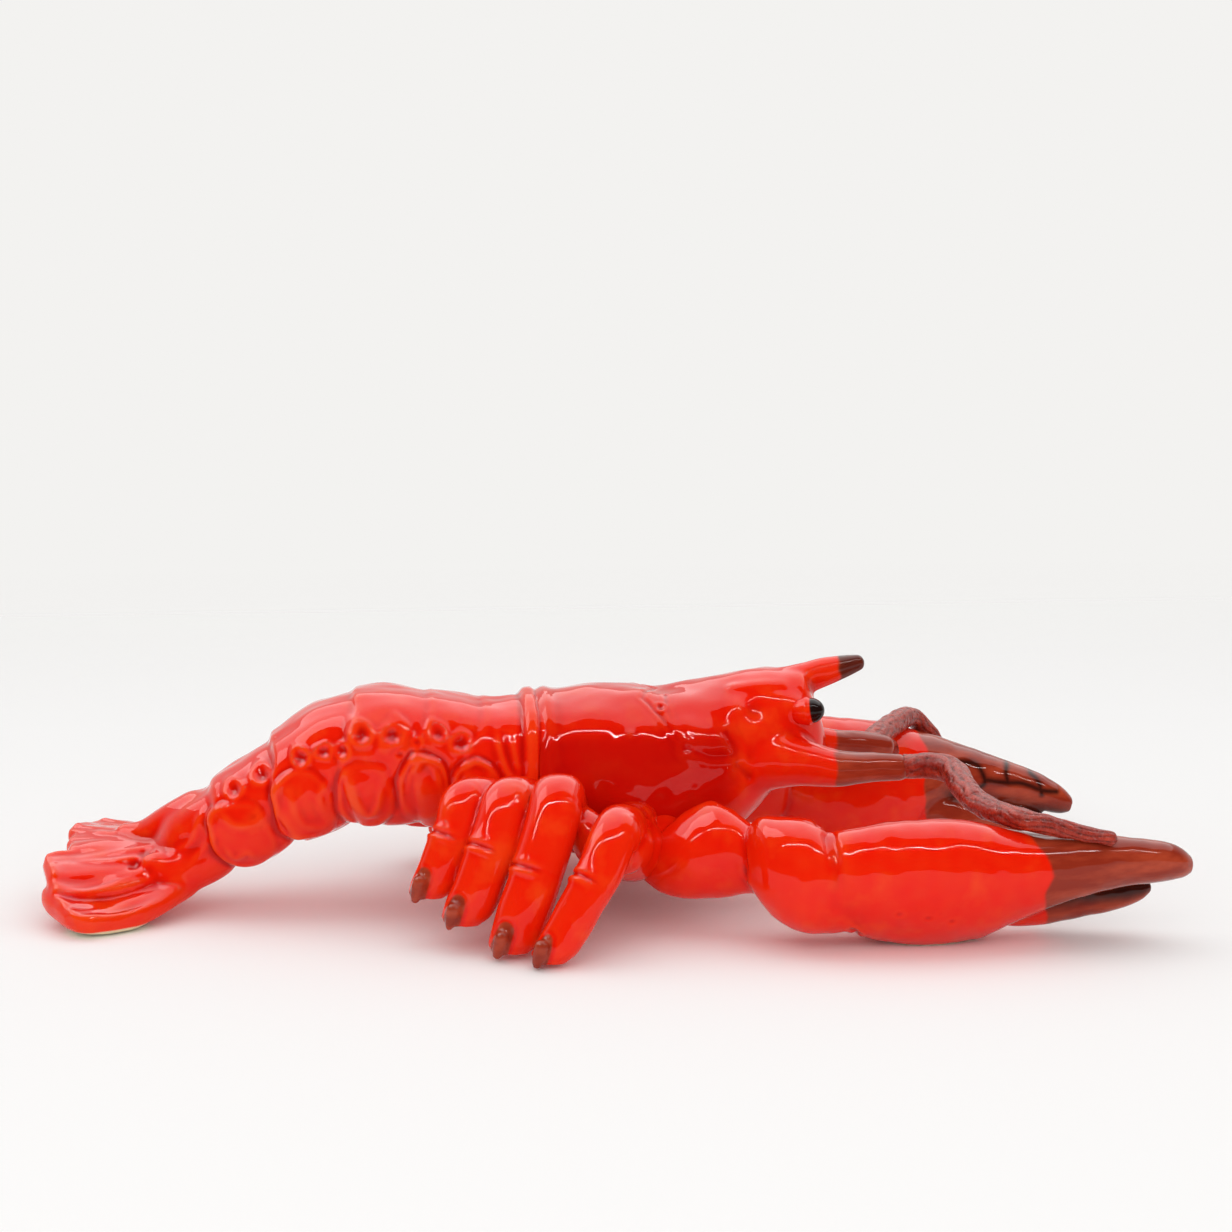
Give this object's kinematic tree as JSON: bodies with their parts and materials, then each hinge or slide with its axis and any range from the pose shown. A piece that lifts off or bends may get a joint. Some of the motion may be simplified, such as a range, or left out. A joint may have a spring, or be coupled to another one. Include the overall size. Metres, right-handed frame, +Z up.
{
  "type": "ceramic lobster figurine",
  "caption": "Life-size glazed red lobster figurine lying on its claws, legs and tail fan, with an arched ringed tail, brown-dipped claw tips and rolled clay antennae.",
  "frame": {"origin": "on the table, under the middle of the figurine's bounding box", "axes": "+X towards the head and claw tips, +Y to the animal's left, +Z up"},
  "size_m": [0.4279, 0.2131, 0.0961],
  "materials": {
    "red_glaze": "gloss",
    "brown_dip": "gloss",
    "rough_brown": "semi-matt, striated",
    "black_pupil": "gloss"
  },
  "bodies": {
    "root": {"abdomen_shell": "red_glaze", "antenna_base_left": "brown_dip", "antenna_base_right": "brown_dip", "antenna_left": "rough_brown", "antenna_right": "rough_brown", "arm_left": "red_glaze", "arm_right": "red_glaze", "carapace_shell": "red_glaze", "claw_finger_left": "brown_dip", "claw_finger_right": "brown_dip", "claw_palm_left": "red_glaze", "claw_palm_right": "red_glaze", "eye_left": "black_pupil", "eye_right": "black_pupil", "rostrum": "brown_dip", "telson": "red_glaze", "uropod_inner_left": "red_glaze", "uropod_inner_right": "red_glaze", "uropod_outer_left": "red_glaze", "uropod_outer_right": "red_glaze", "walking_leg_left_1": "red_glaze", "walking_leg_left_2": "red_glaze", "walking_leg_left_3": "red_glaze", "walking_leg_left_4": "red_glaze", "walking_leg_right_1": "red_glaze", "walking_leg_right_2": "red_glaze", "walking_leg_right_3": "red_glaze", "walking_leg_right_4": "red_glaze", "wrist_left": "red_glaze", "wrist_right": "red_glaze"}
  },
  "joints": []
}
